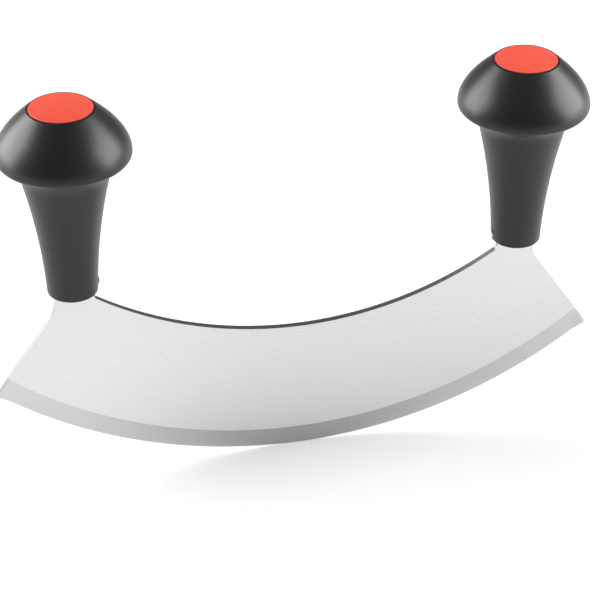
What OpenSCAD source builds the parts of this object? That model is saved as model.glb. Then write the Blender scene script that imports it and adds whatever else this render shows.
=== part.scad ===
// Single-blade mezzaluna: a crescent blade with an upright mushroom handle on each end.
// X runs along the blade, Y through its thickness and Z up.
// The origin is the lowest point of the curved cutting edge.

/* [Blade] */
// Straight distance between the two tips of the blade
blade_chord = 230; // [210:1:260]
// Radius of the curved cutting edge
edge_r = 184; // [176:1:192]
// Radius of the hollow upper edge
spine_r = 137; // [133:1:150]
// Height of the blade in the middle, from the cutting edge to the upper edge
blade_mid_h = 55; // [48:1:56]
// Thickness of the steel sheet
sheet_t = 2.5; // [1.6:0.1:3]
// Width of the ground bevel on each face
bevel_w = 8.5; // [5:0.5:12]
// Thickness of steel left along the cutting edge
edge_land = 0.2; // [0.1:0.05:0.5]
// Lean of the blade's end edges away from upright, in degrees
end_lean = 34.4; // [33:0.2:36]
// Rounding of the two tips
tip_r = 1.5; // [0.5:0.25:3]
// Width of the strip left unground along each end edge
end_strip_w = 1; // [0.5:0.25:2]
// Width over which the bevel runs out beside that strip
runout_w = 5; // [3:0.5:8]

/* [Tangs] */
// Width of each tang, and of the neck under each handle
tang_w = 14.2; // [12:0.2:14.6]
// Height of each tang inside its handle
tang_h = 36; // [24:1:38]
// Steel dressed off each face of the tang so that the handle slides on
tang_relief = 0.05; // [0.02:0.01:0.1]
// Chamfer on the top corners of each tang
tang_chamfer = 3; // [1:0.5:5]
// Rounding where the outer end edge turns up into the neck
neck_outer_r = 8; // [4:0.5:10]
// Rounding where the upper edge turns up into the neck
neck_inner_r = 2.5; // [1:0.25:3]

/* [Handles] */
// Distance along X from each tip in to the centre line of the handle beside it
handle_inset = 30.7; // [29:0.1:32]
// Height of the neck, from the end edge up to the foot of the handle
neck_h = 7.6; // [7.2:0.2:12]
// Radius of the stem at its foot
foot_r = 9.4; // [9:0.1:10.5]
// Rounding of the stem's foot
foot_round = 0.8; // [0.3:0.1:1]
// Radius of the long curve that flares the stem
flare_r = 222; // [190:2:260]
// Height of the stem, from its foot to the fillet under the head
stem_h = 46; // [43:0.5:48]
// Largest radius of the mushroom head
head_r = 24.2; // [23:0.1:25]
// Height of the head's underside above the foot
under_h = 55; // [53:0.5:56]
// Height of the top edge of the head above the foot
crown_h = 74.6; // [72:0.2:76]
// Rounding of the head's lower rim
rim_round = 2.2; // [1:0.1:3]

/* [Caps] */
// Radius of the red disc in the top of each head
cap_r = 11.5; // [10.5:0.1:12]
// Thickness of the disc at its edge
cap_t = 1.8; // [1.4:0.1:2.4]
// Rise of the disc's crown above its edge
cap_crown = 1.1; // [0.4:0.1:1.6]
// Depth of the skirt that plugs the core
skirt_h = 6; // [4:0.5:8]
// Wall of the skirt
skirt_wall = 1.6; // [1.2:0.1:2]
// Radius of the open core moulded into each head
core_r = 8.6; // [8:0.1:9]
// Plastic left between the tang's slot and the floor of the core
core_web = 3; // [2:0.5:4]

/* [Pins] */
// Diameter of each locking pin
pin_d = 3; // [2.6:0.1:3.2]
// Height of the pins above the foot of the handles
pin_h = 2.7; // [2.5:0.1:6]
// Length of the pin that stands proud of the stem
pin_proud = 0.4; // [0.2:0.1:0.6]
// Depth of the notch that the pin fills in the edge of the tang
notch_d = 3; // [2:0.25:4]

/* [Fits] */
// Gap between the tang and its slot, on each side
tang_gap = 0.1; // [0.05:0.01:0.2]
// Gap round the disc in its recess
cap_gap = 0.15; // [0.1:0.01:0.25]
// Gap between the skirt and the core
skirt_gap = 0.05; // [0.03:0.01:0.1]
// Gap round each pin in its hole
pin_gap = 0.02; // [0.01:0.005:0.05]
// Gap between the pin and the faces of its notch
notch_gap = 0.1; // [0.05:0.01:0.2]

/* [Hidden] */
$fn = 96;

// A cutter reaches this far past the face it opens
past = 1;

// Centres of the two arcs of the crescent, and the tip where the cutting edge meets the end edge
edge_centre_z = edge_r;
spine_centre_z = blade_mid_h + spine_r;
tip = [blade_chord / 2, edge_r - sqrt(edge_r * edge_r - blade_chord * blade_chord / 4)];

// Direction up the right end edge, and its outward normal
end_dir = [-sin(end_lean), cos(end_lean)];
end_out = [cos(end_lean), sin(end_lean)];

// Places across the right tang
handle_x = blade_chord / 2 - handle_inset;
neck_in_x = handle_x - tang_w / 2;
neck_out_x = handle_x + tang_w / 2;

// Heights where the neck leaves the end edge and where the handle's foot stands round it
neck_join_z = tip[1] + (tip[0] - neck_out_x) / tan(end_lean);
foot_z = neck_join_z + neck_h;

// The full sheet stops just under the handle, where the dressed tang carries on
foot_gap = 0.4;
neck_top_z = foot_z - foot_gap;

// Where the line of the right end edge comes down to the height of the origin
end_foot_x = tip[0] + tip[1] * tan(end_lean);

// Centre of the tip's rounding, inside both the cutting edge and the end edge
tip_off = tip - [0, edge_centre_z] - tip_r * end_out;
tip_back = -tip_off * end_dir;
tip_slide = tip_back - sqrt(tip_back * tip_back - tip_off * tip_off + (edge_r - tip_r) * (edge_r - tip_r));
tip_c = tip - tip_r * end_out + tip_slide * end_dir;
tip_ray = (tip_c - [0, edge_centre_z]) / norm(tip_c - [0, edge_centre_z]);

// Step where the inner rounding runs into the upper edge, too small to see
arc_step = 0.03;

// Centres of the two roundings at the neck, outside the steel
neck_outer_c = [neck_out_x + neck_outer_r,
    tip[1] + (neck_outer_r - end_out[0] * (neck_out_x + neck_outer_r - tip[0])) / end_out[1]];
neck_inner_c = [neck_in_x - neck_inner_r,
    spine_centre_z - sqrt(pow(spine_r - neck_inner_r - arc_step, 2) - pow(neck_in_x - neck_inner_r, 2))];
neck_inner_ray = (neck_inner_c - [0, spine_centre_z]) / norm(neck_inner_c - [0, spine_centre_z]);

// Heights inside the handle, above its foot
slot_h = tang_h + tang_gap;
core_floor_h = slot_h + core_web;
recess_floor_h = crown_h - cap_t;
recess_r = cap_r + cap_gap;

// Shape of the stem: a straight draft and one long arc
stem_draft = 0.03;
function stem_radius(h) = foot_r - 0.1 + stem_draft * h + h * h / (2 * flare_r);
function curve(a, b, c, t) = (1 - t) * (1 - t) * a + 2 * t * (1 - t) * b + t * t * c;

stem_top_r = stem_radius(stem_h);
under_r = head_r - rim_round;
rim_h = under_h + rim_round;

// Half outline of the handle, from the middle of its foot to the edge of the cap's recess
handle_outline = concat(
    [[0, 0]],
    [for (a = [0 : 30 : 90]) [stem_radius(0) - foot_round + foot_round * sin(a), foot_round * (1 - cos(a))]],
    [for (i = [1 : 10]) let (h = foot_round + i * (stem_h - foot_round) / 10) [stem_radius(h), h]],
    [for (i = [1 : 8]) curve([stem_top_r, stem_h], [stem_top_r + 1.6, under_h - 1.4], [under_r, under_h], i / 8)],
    [for (a = [15 : 15 : 90]) [under_r + rim_round * sin(a), rim_h - rim_round * cos(a)]],
    [for (i = [1 : 16]) curve([head_r, rim_h], [head_r, rim_h + 7.2], [recess_r, crown_h], i / 16)],
    [[0, crown_h]]);

// Lays a flat outline drawn in X and Z upright, with the thickness centred on Y = 0
module upright(thickness) {
  rotate([90, 0, 0]) linear_extrude(thickness, center = true) children();
}

// Both mirrored halves of what is drawn for the right-hand side
module both_sides() {
  children();
  mirror([1, 0, 0]) children();
}

// Right tip: the sliver outside its rounding
module tip_corner() {
  difference() {
    polygon([tip_c, tip_c + 2 * tip_r * end_out, tip + 2 * tip_r * (end_out + tip_ray), tip_c + 2 * tip_r * tip_ray]);
    translate(tip_c) circle(tip_r);
  }
}

// Right neck: the steel added by its outer rounding
module neck_outer_fillet() {
  difference() {
    polygon([[neck_out_x - 1, neck_join_z - 2], [neck_out_x - 1, neck_outer_c[1]], neck_outer_c,
        neck_outer_c - neck_outer_r * end_out]);
    translate(neck_outer_c) circle(neck_outer_r);
  }
}

// Right neck: the steel added by its inner rounding
module neck_inner_fillet() {
  difference() {
    polygon([neck_inner_c, neck_inner_c + (neck_inner_r + 1) * neck_inner_ray, [neck_in_x + 1, neck_join_z - 2],
        [neck_in_x + 1, neck_inner_c[1]]]);
    translate(neck_inner_c) circle(neck_inner_r);
  }
}

// Crescent with its two necks, up to just under the handles
module crescent_outline() {
  difference() {
    intersection() {
      translate([0, edge_centre_z]) circle(edge_r, $fn = 360);
      polygon([[end_foot_x, 0], [neck_out_x, neck_join_z], [neck_out_x, neck_top_z],
          [-neck_out_x, neck_top_z], [-neck_out_x, neck_join_z], [-end_foot_x, 0]]);
    }
    translate([0, spine_centre_z]) circle(spine_r, $fn = 360);
    both_sides() tip_corner();
  }
  both_sides() {
    neck_outer_fillet();
    neck_inner_fillet();
    translate([neck_in_x, neck_join_z - 2]) square([tang_w, neck_top_z - neck_join_z + 2]);
  }
}

// Right tang above the neck, with chamfered corners and the pin's notch in its inner edge
module tang_outline() {
  tang_top_z = foot_z + tang_h;
  notch_h = pin_d + 2 * notch_gap;
  difference() {
    polygon([[neck_in_x, neck_top_z - past], [neck_out_x, neck_top_z - past],
        [neck_out_x, tang_top_z - tang_chamfer], [neck_out_x - tang_chamfer, tang_top_z],
        [neck_in_x + tang_chamfer, tang_top_z], [neck_in_x, tang_top_z - tang_chamfer]]);
    translate([neck_in_x - past, foot_z + pin_h - notch_h / 2]) square([notch_d + past, notch_h]);
  }
}

// Lens that grinds both faces: its cones meet the sheet's faces at the top of the bevel,
// leave the land at the cutting edge and meet each other just outside it
module ground_disc() {
  cone_run = bevel_w / (sheet_t - edge_land);
  thick_y = sheet_t / 2 + past;
  thick_r = edge_r - cone_run * (2 * thick_y - edge_land);
  sharp_r = edge_r + cone_run * edge_land;
  translate([0, 0, edge_centre_z])
    rotate([90, 0, 0])
      rotate_extrude($fn = 360)
        polygon([[0, -thick_y], [thick_r, -thick_y], [sharp_r, 0], [thick_r, thick_y], [0, thick_y]]);
}

// Wedge along the right end edge that keeps the sheet thick where the bevel runs out
module end_run_out() {
  thin_y = edge_land / 4;
  slope = (sheet_t / 2 - thin_y) / runout_w;
  reach = end_strip_w + runout_w;
  translate([tip[0], 0, tip[1]])
    rotate([0, 180 - end_lean, 0])
      translate([0, 0, -2 * bevel_w])
        linear_extrude(2 * bevel_w + 2 * tip_r)
          polygon([[-past, -thin_y - slope * (reach + past)], [reach, -thin_y],
              [reach, thin_y], [-past, thin_y + slope * (reach + past)]]);
}

// Crescent of sheet steel with its bevels and its two tangs
module blade() {
  color("gainsboro") {
    intersection() {
      upright(sheet_t) crescent_outline();
      union() {
        ground_disc();
        both_sides() end_run_out();
      }
    }
    both_sides() upright(sheet_t - 2 * tang_relief) tang_outline();
  }
}

// Handle about its own centre line, standing on its foot, with its pin hole on the -X side
module handle() {
  slot_w = tang_w + 2 * tang_gap;
  slot_t = sheet_t + 2 * tang_gap;
  color("dimgray") difference() {
    rotate_extrude() polygon(handle_outline);
    translate([-slot_w / 2, -slot_t / 2, -past]) cube([slot_w, slot_t, slot_h + past]);
    translate([0, 0, core_floor_h]) cylinder(crown_h - core_floor_h + past, r = core_r);
    translate([0, 0, recess_floor_h]) cylinder(cap_t + past, r = recess_r);
    translate([0, 0, pin_h]) rotate([0, -90, 0]) cylinder(foot_r + past, d = pin_d + 2 * pin_gap);
  }
}

// Red disc with a crowned top and a skirt that plugs the core
module cap() {
  skirt_r = core_r - skirt_gap;
  color("tomato") {
    rotate_extrude() polygon(concat(
        [[0, recess_floor_h]],
        [[cap_r, recess_floor_h]],
        [for (a = [0 : 11.25 : 84]) [cap_r * cos(a), crown_h + cap_crown * sin(a) * sin(a)]],
        [[0, crown_h + cap_crown]]));
    translate([0, 0, recess_floor_h - skirt_h]) difference() {
      cylinder(skirt_h + cap_t / 2, r = skirt_r);
      translate([0, 0, -past]) cylinder(skirt_h + past, r = skirt_r - skirt_wall);
    }
  }
}

// Locking pin on the -X side, from its proud end to the bottom of the notch
module pin() {
  inner_end = tang_w / 2 - notch_d + notch_gap;
  color("silver")
    translate([-inner_end, 0, pin_h]) rotate([0, -90, 0])
      cylinder(stem_radius(pin_h) + pin_proud - inner_end, d = pin_d);
}

// Stands a piece drawn about a handle's centre line on the right or, mirrored, on the left
module on_right() {
  translate([handle_x, 0, foot_z]) children();
}
module on_left() {
  mirror([1, 0, 0]) on_right() children();
}

module handle_left() on_left() handle();
module handle_right() on_right() handle();
module cap_left() on_left() cap();
module cap_right() on_right() cap();
module pin_left() on_left() pin();
module pin_right() on_right() pin();

blade();
handle_left();
handle_right();
cap_left();
cap_right();
pin_left();
pin_right();
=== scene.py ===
import math
import bmesh
import bpy
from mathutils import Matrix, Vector


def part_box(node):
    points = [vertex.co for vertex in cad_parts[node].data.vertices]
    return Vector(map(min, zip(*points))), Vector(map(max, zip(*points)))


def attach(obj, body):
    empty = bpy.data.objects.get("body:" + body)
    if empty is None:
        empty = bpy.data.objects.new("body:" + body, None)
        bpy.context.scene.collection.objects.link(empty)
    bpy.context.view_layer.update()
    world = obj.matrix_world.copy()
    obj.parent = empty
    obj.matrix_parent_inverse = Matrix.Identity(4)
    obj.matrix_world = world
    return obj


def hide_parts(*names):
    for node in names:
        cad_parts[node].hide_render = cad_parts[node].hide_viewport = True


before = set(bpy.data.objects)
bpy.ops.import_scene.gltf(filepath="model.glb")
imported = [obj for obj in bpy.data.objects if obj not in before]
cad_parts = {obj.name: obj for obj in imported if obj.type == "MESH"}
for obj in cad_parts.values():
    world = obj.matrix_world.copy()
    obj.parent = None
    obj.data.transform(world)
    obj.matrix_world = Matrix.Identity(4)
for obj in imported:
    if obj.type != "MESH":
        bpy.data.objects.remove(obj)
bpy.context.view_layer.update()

# Camera: it looks down on the knife from the front left, with the left handle cut by the edge of the picture.
# The angles, distance and lens were fitted to the arcs of the blade and the outlines of both handles.
camera_azimuth = math.radians(-12.97)
camera_elevation = math.radians(32.65)
camera_distance = 0.8016
camera_target = Vector((0.0006, 0.0, 0.0658))
camera_back = Vector((
    math.sin(camera_azimuth) * math.cos(camera_elevation),
    -math.cos(camera_azimuth) * math.cos(camera_elevation),
    math.sin(camera_elevation)))
camera_data = bpy.data.cameras.new("camera")
camera_data.sensor_width = 36.0
camera_data.lens = 127.9
camera = bpy.data.objects.new("camera", camera_data)
camera.location = camera_target + camera_distance * camera_back
camera.rotation_euler = camera_back.to_track_quat("Z", "Y").to_euler()
bpy.context.collection.objects.link(camera)
bpy.context.scene.camera = camera
bpy.context.scene.view_settings.view_transform = "Standard"


# Blade: one crescent of stainless sheet, 2.5 mm thick, stamped out with a neck and tang at each end.
# Both faces are satin polished along the blade and ground to the curved edge with a bevel 8.5 mm wide, whose
# finer lines run across it, towards the edge. The colour holds painted shade: the bevel is darkest in its
# middle, where the blade stands on the floor, and the spine, cutting edge and ends are darkened too.
def new_material(name):
    """A node material with its node tree and its Principled shader."""
    material = bpy.data.materials.new(name)
    material.use_nodes = True
    return material, material.node_tree, material.node_tree.nodes["Principled BSDF"]


def math_node(tree, operation, first, second=None):
    """A Math node whose inputs are sockets or numbers; returns its output."""
    node = tree.nodes.new("ShaderNodeMath")
    node.operation = operation
    for socket, value in zip(node.inputs, (first, second)):
        if isinstance(value, bpy.types.NodeSocket):
            tree.links.new(value, socket)
        elif value is not None:
            socket.default_value = value
    return node.outputs[0]


def noise(tree, place, scale, detail):
    """A noise texture's value at that place; the scale is a socket or a number."""
    texture = tree.nodes.new("ShaderNodeTexNoise")
    texture.inputs["Detail"].default_value = detail
    tree.links.new(place, texture.inputs["Vector"])
    if isinstance(scale, bpy.types.NodeSocket):
        tree.links.new(scale, texture.inputs["Scale"])
    else:
        texture.inputs["Scale"].default_value = scale
    return texture.outputs["Fac"]


def new_finish(name, inputs, outputs):
    """A shader node group with those number inputs and outputs; returns it with its two end nodes."""
    group = bpy.data.node_groups.new(name, "ShaderNodeTree")
    for label, value in inputs:
        socket = group.interface.new_socket(label, in_out="INPUT", socket_type="NodeSocketFloat")
        socket.default_value = value
    for label in outputs:
        group.interface.new_socket(label, in_out="OUTPUT", socket_type="NodeSocketFloat")
    return group, group.nodes.new("NodeGroupInput"), group.nodes.new("NodeGroupOutput")


def swing(tree, value):
    """How far a noise value lies from its middle."""
    return math_node(tree, "SUBTRACT", value, 0.5)


steel_finish, finish_in, finish_out = new_finish(
    "steel_finish", (("Fine", 2600.0), ("Rough", 0.3), ("Spread", 0.1)), ("Roughness", "Height", "Tone"))
steel_finish.interface.new_socket("Position", in_out="INPUT", socket_type="NodeSocketVector")
cloud_scale = 28.0
tone_drift = 0.06
steel_place = finish_in.outputs["Position"]
lines = noise(steel_finish, steel_place, finish_in.outputs["Fine"], detail=4.0)
clouds = noise(steel_finish, steel_place, cloud_scale, detail=3.0)
both_swings = math_node(steel_finish, "ADD", swing(steel_finish, lines), swing(steel_finish, clouds))
rough_swing = math_node(steel_finish, "MULTIPLY", both_swings, finish_in.outputs["Spread"])
steel_finish.links.new(math_node(steel_finish, "ADD", rough_swing, finish_in.outputs["Rough"]),
                       finish_out.inputs["Roughness"])
steel_finish.links.new(lines, finish_out.inputs["Height"])
steel_finish.links.new(math_node(steel_finish, "MULTIPLY", both_swings, tone_drift), finish_out.inputs["Tone"])

edge_radius = 0.184
bevel_width = 0.0085
line_stretch = 0.02
face_grey = 0.82
# Painted shade: the bevel's colour is darkened most in its middle, where the blade stands on the floor, and
# less towards its ends.
bevel_painted_shade_middle = 0.32
bevel_shade_fade_outwards = 0.28
# Painted shade: faces that do not look out of the blade's sides (spine, cutting edge and ends) are darkened.
edge_painted_shade = 0.42
edge_facing_limit = 0.5
blade_material, tree, steel = new_material("blade_steel")
blade_coordinates = tree.nodes.new("ShaderNodeTexCoord")
place = blade_coordinates.outputs["Object"]
axes = tree.nodes.new("ShaderNodeSeparateXYZ")
tree.links.new(place, axes.inputs[0])
below_centre = math_node(tree, "SUBTRACT", edge_radius, axes.outputs["Z"])
across = math_node(tree, "MULTIPLY", axes.outputs["X"], axes.outputs["X"])
upward = math_node(tree, "MULTIPLY", below_centre, below_centre)
arc_radius = math_node(tree, "SQRT", math_node(tree, "ADD", across, upward))
arc_angle = math_node(tree, "ARCTAN2", axes.outputs["X"], below_centre)
on_bevel = math_node(tree, "GREATER_THAN", arc_radius, edge_radius - bevel_width)
along_blade = tree.nodes.new("ShaderNodeMapping")
along_blade.inputs["Scale"].default_value = (line_stretch, 1.0, 1.0)
tree.links.new(place, along_blade.inputs["Vector"])
across_bevel = tree.nodes.new("ShaderNodeCombineXYZ")
tree.links.new(math_node(tree, "MULTIPLY", arc_angle, edge_radius), across_bevel.inputs["X"])
tree.links.new(math_node(tree, "MULTIPLY", arc_radius, line_stretch), across_bevel.inputs["Y"])
line_place = tree.nodes.new("ShaderNodeMix")
line_place.data_type = "VECTOR"
tree.links.new(on_bevel, line_place.inputs["Factor"])
tree.links.new(along_blade.outputs["Vector"], line_place.inputs["A"])
tree.links.new(across_bevel.outputs["Vector"], line_place.inputs["B"])
finish = tree.nodes.new("ShaderNodeGroup")
finish.node_tree = steel_finish
finish.inputs["Fine"].default_value = 2200.0
finish.inputs["Rough"].default_value = 0.3
finish.inputs["Spread"].default_value = 0.12
tree.links.new(line_place.outputs["Result"], finish.inputs["Position"])
# Painted shade on the bevel, fading from the middle outwards.
bevel_shade_fade = math_node(tree, "MULTIPLY", math_node(tree, "ABSOLUTE", arc_angle), bevel_shade_fade_outwards)
bevel_painted_shade = math_node(tree, "MULTIPLY", on_bevel, math_node(tree, "SUBTRACT", bevel_shade_fade, bevel_painted_shade_middle))
facing = tree.nodes.new("ShaderNodeSeparateXYZ")
tree.links.new(blade_coordinates.outputs["Normal"], facing.inputs[0])
# Painted shade on the spine, cutting edge and end faces.
edge_faces = math_node(tree, "LESS_THAN", math_node(tree, "ABSOLUTE", facing.outputs["Y"]), edge_facing_limit)
edge_shade_loss = math_node(tree, "MULTIPLY", edge_faces, -edge_painted_shade)
face_tone_with_painted_shade = math_node(tree, "ADD", math_node(tree, "ADD", finish.outputs["Tone"], face_grey), bevel_painted_shade)
blade_tone_with_painted_shade = math_node(tree, "ADD", face_tone_with_painted_shade, edge_shade_loss)
tone = tree.nodes.new("ShaderNodeCombineColor")
for channel, tint in (("Red", 1.0), ("Green", 1.002), ("Blue", 1.005)):
    tree.links.new(math_node(tree, "MULTIPLY", blade_tone_with_painted_shade, tint), tone.inputs[channel])
tree.links.new(tone.outputs["Color"], steel.inputs["Base Color"])
tree.links.new(finish.outputs["Roughness"], steel.inputs["Roughness"])
steel.inputs["Metallic"].default_value = 1.0
bump = tree.nodes.new("ShaderNodeBump")
bump.inputs["Strength"].default_value = 0.05
bump.inputs["Distance"].default_value = 0.00002
tree.links.new(finish.outputs["Height"], bump.inputs["Height"])
tree.links.new(bump.outputs["Normal"], steel.inputs["Normal"])
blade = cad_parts["blade"]
blade.data.materials.clear()
blade.data.materials.append(blade_material)


# Handles: a flared stem and a mushroom head moulded in one piece of black satin plastic, pushed on the tang.
# A recess in the crown takes the red cap, and the head's lower rim is rolled under to a soft lip.
# The plastic has the fine grain of its mould, with faint clouds in the gloss where hands have polished it.
moulded_finish, finish_in, finish_out = new_finish(
    "moulded_finish", (("Grain", 2600.0), ("Rough", 0.4), ("Spread", 0.12)), ("Roughness", "Height", "Clouds"))
flow_scale = 45.0
mould_place = moulded_finish.nodes.new("ShaderNodeTexCoord").outputs["Object"]
grain = noise(moulded_finish, mould_place, finish_in.outputs["Grain"], detail=2.0)
flow = noise(moulded_finish, mould_place, flow_scale, detail=4.0)
rough_swing = math_node(moulded_finish, "MULTIPLY", swing(moulded_finish, flow), finish_in.outputs["Spread"])
moulded_finish.links.new(math_node(moulded_finish, "ADD", rough_swing, finish_in.outputs["Rough"]),
                         finish_out.inputs["Roughness"])
moulded_finish.links.new(grain, finish_out.inputs["Height"])
moulded_finish.links.new(flow, finish_out.inputs["Clouds"])


def moulded_material(name, dark, light, grain_scale, rough, spread, depth):
    """Plastic whose colour drifts between two near tones, with a moulded grain of that depth."""
    material, tree, plastic = new_material(name)
    finish = tree.nodes.new("ShaderNodeGroup")
    finish.node_tree = moulded_finish
    finish.inputs["Grain"].default_value = grain_scale
    finish.inputs["Rough"].default_value = rough
    finish.inputs["Spread"].default_value = spread
    tones = tree.nodes.new("ShaderNodeMix")
    tones.data_type = "RGBA"
    tones.inputs["A"].default_value = (*dark, 1.0)
    tones.inputs["B"].default_value = (*light, 1.0)
    tree.links.new(finish.outputs["Clouds"], tones.inputs["Factor"])
    tree.links.new(tones.outputs["Result"], plastic.inputs["Base Color"])
    tree.links.new(finish.outputs["Roughness"], plastic.inputs["Roughness"])
    grain_bump = tree.nodes.new("ShaderNodeBump")
    grain_bump.inputs["Strength"].default_value = 0.25
    grain_bump.inputs["Distance"].default_value = depth
    tree.links.new(finish.outputs["Height"], grain_bump.inputs["Height"])
    tree.links.new(grain_bump.outputs["Normal"], plastic.inputs["Normal"])
    return material


# The lathe turns a chain of points, with the radius in X and the height in Z, about its own upright axis.
merge_distance = 0.000002
lathe = bpy.data.node_groups.new("lathe", "GeometryNodeTree")
for label, kind in (("Outline", "Geometry"), ("Points", "Int"), ("Segments", "Int"), ("Axis", "Vector"),
                    ("Finish", "Material")):
    lathe.interface.new_socket(label, in_out="INPUT", socket_type="NodeSocket" + kind)
lathe.interface.new_socket("Turned", in_out="OUTPUT", socket_type="NodeSocketGeometry")
lathe_in = lathe.nodes.new("NodeGroupInput")
lathe_out = lathe.nodes.new("NodeGroupOutput")
point_count = lathe_in.outputs["Points"]
sheet = lathe.nodes.new("GeometryNodeMeshGrid")
lathe.links.new(math_node(lathe, "ADD", lathe_in.outputs["Segments"], 1.0), sheet.inputs["Vertices X"])
lathe.links.new(point_count, sheet.inputs["Vertices Y"])
vertex = lathe.nodes.new("GeometryNodeInputIndex").outputs[0]
half_past = math_node(lathe, "ADD", vertex, 0.5)
step = math_node(lathe, "FLOOR", math_node(lathe, "DIVIDE", half_past, point_count))
row = math_node(lathe, "SUBTRACT", vertex, math_node(lathe, "MULTIPLY", step, point_count))
all_turns = math_node(lathe, "MULTIPLY", step, 2.0 * math.pi)
turn = math_node(lathe, "DIVIDE", all_turns, lathe_in.outputs["Segments"])
outline_place = lathe.nodes.new("GeometryNodeInputPosition")
point = lathe.nodes.new("GeometryNodeSampleIndex")
point.data_type = "FLOAT_VECTOR"
lathe.links.new(lathe_in.outputs["Outline"], point.inputs["Geometry"])
lathe.links.new(outline_place.outputs[0], point.inputs["Value"])
lathe.links.new(row, point.inputs["Index"])
point_axes = lathe.nodes.new("ShaderNodeSeparateXYZ")
lathe.links.new(point.outputs["Value"], point_axes.inputs[0])
turned = lathe.nodes.new("ShaderNodeCombineXYZ")
for axis, operation in (("X", "COSINE"), ("Y", "SINE")):
    reach = math_node(lathe, "MULTIPLY", point_axes.outputs["X"], math_node(lathe, operation, turn))
    lathe.links.new(reach, turned.inputs[axis])
lathe.links.new(point_axes.outputs["Z"], turned.inputs["Z"])
on_axis = lathe.nodes.new("ShaderNodeVectorMath")
lathe.links.new(turned.outputs[0], on_axis.inputs[0])
lathe.links.new(lathe_in.outputs["Axis"], on_axis.inputs[1])
placed = lathe.nodes.new("GeometryNodeSetPosition")
lathe.links.new(sheet.outputs["Mesh"], placed.inputs["Geometry"])
lathe.links.new(on_axis.outputs["Vector"], placed.inputs["Position"])
joined = lathe.nodes.new("GeometryNodeMergeByDistance")
joined.inputs["Distance"].default_value = merge_distance
lathe.links.new(placed.outputs["Geometry"], joined.inputs["Geometry"])
realized = lathe.nodes.new("GeometryNodeRealizeInstances")
lathe.links.new(joined.outputs["Geometry"], realized.inputs["Geometry"])
finished = lathe.nodes.new("GeometryNodeSetMaterial")
lathe.links.new(realized.outputs["Geometry"], finished.inputs["Geometry"])
lathe.links.new(lathe_in.outputs["Finish"], finished.inputs["Material"])
lathe.links.new(finished.outputs["Geometry"], lathe_out.inputs["Turned"])


def turn_piece(name, outline, axis, material):
    """A plain mesh turned from (radius, height) points, with its faces outwards and smooth."""
    chain = bpy.data.meshes.new(name + "_outline")
    chain.from_pydata([(radius, 0.0, height) for radius, height in outline],
                      [(i, i + 1) for i in range(len(outline) - 1)], [])
    holder = bpy.data.objects.new(name + "_outline", chain)
    bpy.context.collection.objects.link(holder)
    modifier = holder.modifiers.new("lathe", "NODES")
    modifier.node_group = lathe
    values = {"Points": len(outline), "Segments": 128, "Axis": axis, "Finish": material}
    for item in lathe.interface.items_tree:
        if item.item_type == "SOCKET" and item.in_out == "INPUT" and item.name in values:
            modifier[item.identifier] = values[item.name]
    evaluated = holder.evaluated_get(bpy.context.evaluated_depsgraph_get())
    mesh = bpy.data.meshes.new_from_object(evaluated)
    bpy.data.objects.remove(holder)
    shell = bmesh.new()
    shell.from_mesh(mesh)
    bmesh.ops.recalc_face_normals(shell, faces=shell.faces)
    shell.to_mesh(mesh)
    shell.free()
    mesh.shade_smooth()
    piece = bpy.data.objects.new(name, mesh)
    bpy.context.collection.objects.link(piece)
    return piece


def bent(start, pull, end, steps):
    """Points of a curve from start to end, drawn towards pull; the start is left out."""
    points = []
    for i in range(1, steps + 1):
        t = i / steps
        points.append(tuple((1 - t) ** 2 * a + 2 * t * (1 - t) * b + t * t * c
                            for a, b, c in zip(start, pull, end)))
    return points


low_corner, high_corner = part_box("handle_right")
handle_axis_x = (low_corner[0] + high_corner[0]) / 2
foot_height = low_corner[2]
foot_radius = 0.0093
stem_draft = 0.03
flare_radius = 0.222
stem_height = 0.046
stem_steps = 30
fillet_out = 0.0016
fillet_drop = 0.0014
under_height = 0.055
dome_rise = 0.0072
crown_height = 0.0746
head_radius = 0.0242
rim_roll = 0.0022
foot_roll = 0.0008
recess_radius = 0.01165
recess_depth = 0.0018
recess_lip_in = 0.00004
recess_lip_drop = 0.00008
recess_draft = 0.00005


def stem_radius(height):
    """Radius of the stem: a slight draft and one long arc."""
    return foot_radius + stem_draft * height + height * height / (2 * flare_radius)


handle_outline = [(0.0, 0.0)]
for degrees in range(0, 91, 15):
    angle = math.radians(degrees)
    handle_outline.append((stem_radius(0) - foot_roll + foot_roll * math.sin(angle),
                           foot_roll * (1 - math.cos(angle))))
for i in range(1, stem_steps + 1):
    height = foot_roll + i * (stem_height - foot_roll) / stem_steps
    handle_outline.append((stem_radius(height), height))
handle_outline += bent((stem_radius(stem_height), stem_height),
                       (stem_radius(stem_height) + fillet_out, under_height - fillet_drop),
                       (head_radius - rim_roll, under_height), 16)
for degrees in range(10, 91, 10):
    angle = math.radians(degrees)
    handle_outline.append((head_radius - rim_roll + rim_roll * math.sin(angle),
                           under_height + rim_roll - rim_roll * math.cos(angle)))
handle_outline += bent((head_radius, under_height + rim_roll),
                       (head_radius, under_height + rim_roll + dome_rise),
                       (recess_radius, crown_height), 40)
handle_outline += [(recess_radius - recess_lip_in, crown_height - recess_lip_drop),
                   (recess_radius - recess_draft, crown_height - recess_depth),
                   (0.0, crown_height - recess_depth)]
handle_material = moulded_material("handle_plastic", (0.010, 0.010, 0.011), (0.016, 0.016, 0.017),
                                   grain_scale=2400.0, rough=0.36, spread=0.10, depth=0.00004)
for side, place_x in (("left", -handle_axis_x), ("right", handle_axis_x)):
    handle = turn_piece("handle_" + side + "_shell", handle_outline, (place_x, 0.0, foot_height),
                        handle_material)
    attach(handle, "root")
    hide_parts("handle_" + side)


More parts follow.
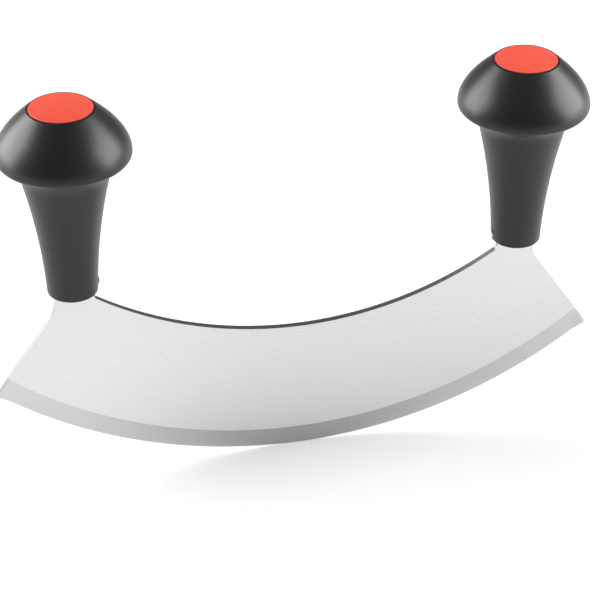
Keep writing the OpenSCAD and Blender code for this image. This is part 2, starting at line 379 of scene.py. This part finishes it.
# Caps: red moulded discs, slightly crowned, that close the core of each head.
# Each sits in its recess with a hair line of shadow round its softly rounded edge.
cap_radius = 0.0115
cap_crown = 0.0011
cap_edge_roll = 0.0003
crown_steps = 20
cap_outline = [(0.0, crown_height - recess_depth), (cap_radius, crown_height - recess_depth),
               (cap_radius, crown_height - cap_edge_roll)]
for degrees in range(15, 91, 15):
    angle = math.radians(degrees)
    cap_outline.append((cap_radius - cap_edge_roll * (1 - math.cos(angle)),
                        crown_height - cap_edge_roll + cap_edge_roll * math.sin(angle)))
for i in range(1, crown_steps + 1):
    reach = 1 - i / crown_steps
    cap_outline.append(((cap_radius - cap_edge_roll) * reach, crown_height + cap_crown * (1 - reach ** 2)))
cap_material = moulded_material("cap_plastic", (0.95, 0.105, 0.062), (1.0, 0.12, 0.072),
                                grain_scale=1800.0, rough=0.3, spread=0.08, depth=0.00002)
for side, place_x in (("left", -handle_axis_x), ("right", handle_axis_x)):
    cap = turn_piece("cap_" + side + "_disc", cap_outline, (place_x, 0.0, foot_height), cap_material)
    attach(cap, "root")
    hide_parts("cap_" + side)


# Pins: short bright steel dowels that lock each handle on its tang.
# Each is driven through the inner side of the stem into a notch of the tang, and its end stands just proud.
pin_grey = 0.76
pin_material, tree, steel = new_material("pin_steel")
finish = tree.nodes.new("ShaderNodeGroup")
finish.node_tree = steel_finish
finish.inputs["Fine"].default_value = 3000.0
finish.inputs["Rough"].default_value = 0.24
finish.inputs["Spread"].default_value = 0.1
pin_place = tree.nodes.new("ShaderNodeTexCoord").outputs["Object"]
tree.links.new(pin_place, finish.inputs["Position"])
tone = tree.nodes.new("ShaderNodeCombineColor")
pin_tone = math_node(tree, "ADD", finish.outputs["Tone"], pin_grey)
for channel in ("Red", "Green", "Blue"):
    tree.links.new(pin_tone, tone.inputs[channel])
tree.links.new(tone.outputs["Color"], steel.inputs["Base Color"])
tree.links.new(finish.outputs["Roughness"], steel.inputs["Roughness"])
steel.inputs["Metallic"].default_value = 1.0
for side in ("left", "right"):
    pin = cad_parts["pin_" + side]
    pin.data.materials.clear()
    pin.data.materials.append(pin_material)


# Floor: a broad pale sweep that the knife stands on with its edge.
# It keeps the soft shadow, and a faint glow lifts it to white for the camera and in reflections.
floor_half = 6.0
floor_grey = 0.8
camera_glow = 0.27
mirrored_glow = 0.10
floor_mesh = bpy.data.meshes.new("floor")
floor_mesh.from_pydata([(-floor_half, -floor_half, 0), (floor_half, -floor_half, 0),
                        (floor_half, floor_half, 0), (-floor_half, floor_half, 0)], [], [(0, 1, 2, 3)])
floor = bpy.data.objects.new("floor", floor_mesh)
bpy.context.collection.objects.link(floor)
floor_material, tree, paint = new_material("floor_paint")
paint.inputs["Base Color"].default_value = (floor_grey, floor_grey, floor_grey, 1.0)
paint.inputs["Roughness"].default_value = 0.9
paint.inputs["Specular IOR Level"].default_value = 0.0
rays = tree.nodes.new("ShaderNodeLightPath")
mirrored = math_node(tree, "MAXIMUM", rays.outputs["Is Glossy Ray"], rays.outputs["Is Transmission Ray"])
camera_lift = math_node(tree, "MULTIPLY", rays.outputs["Is Camera Ray"], camera_glow)
mirrored_lift = math_node(tree, "MULTIPLY", mirrored, mirrored_glow)
floor_lift = tree.nodes.new("ShaderNodeEmission")
tree.links.new(math_node(tree, "ADD", camera_lift, mirrored_lift), floor_lift.inputs["Strength"])
both = tree.nodes.new("ShaderNodeAddShader")
tree.links.new(paint.outputs[0], both.inputs[0])
tree.links.new(floor_lift.outputs[0], both.inputs[1])
tree.links.new(both.outputs[0], tree.nodes["Material Output"].inputs["Surface"])
floor.data.materials.append(floor_material)


# Light: two broad soft boxes stand low on either side, the left one a little behind.
# The room is dim and even, and white only where the camera looks past the floor.
def soft_box(name, location):
    """A square area lamp aimed at the knife."""
    lamp = bpy.data.lights.new(name, "AREA")
    lamp.size = 1.0
    lamp.energy = 22.0
    box = bpy.data.objects.new(name, lamp)
    box.location = location
    aim = Vector(location) - camera_target
    box.rotation_euler = aim.to_track_quat("Z", "Y").to_euler()
    bpy.context.collection.objects.link(box)


soft_box("soft_box_left", (-0.98, 0.54, 0.52))
soft_box("soft_box_right", (1.10, -0.14, 0.54))
room_grey = 0.18
world = bpy.data.worlds.new("studio")
bpy.context.scene.world = world
world.use_nodes = True
tree = world.node_tree
rays = tree.nodes.new("ShaderNodeLightPath")
room = tree.nodes["Background"]
room.inputs["Color"].default_value = (room_grey, room_grey, room_grey, 1.0)
white = tree.nodes.new("ShaderNodeBackground")
white.inputs["Color"].default_value = (1.0, 1.0, 1.0, 1.0)
pick = tree.nodes.new("ShaderNodeMixShader")
tree.links.new(rays.outputs["Is Camera Ray"], pick.inputs[0])
tree.links.new(room.outputs[0], pick.inputs[1])
tree.links.new(white.outputs[0], pick.inputs[2])
tree.links.new(pick.outputs[0], tree.nodes["World Output"].inputs["Surface"])
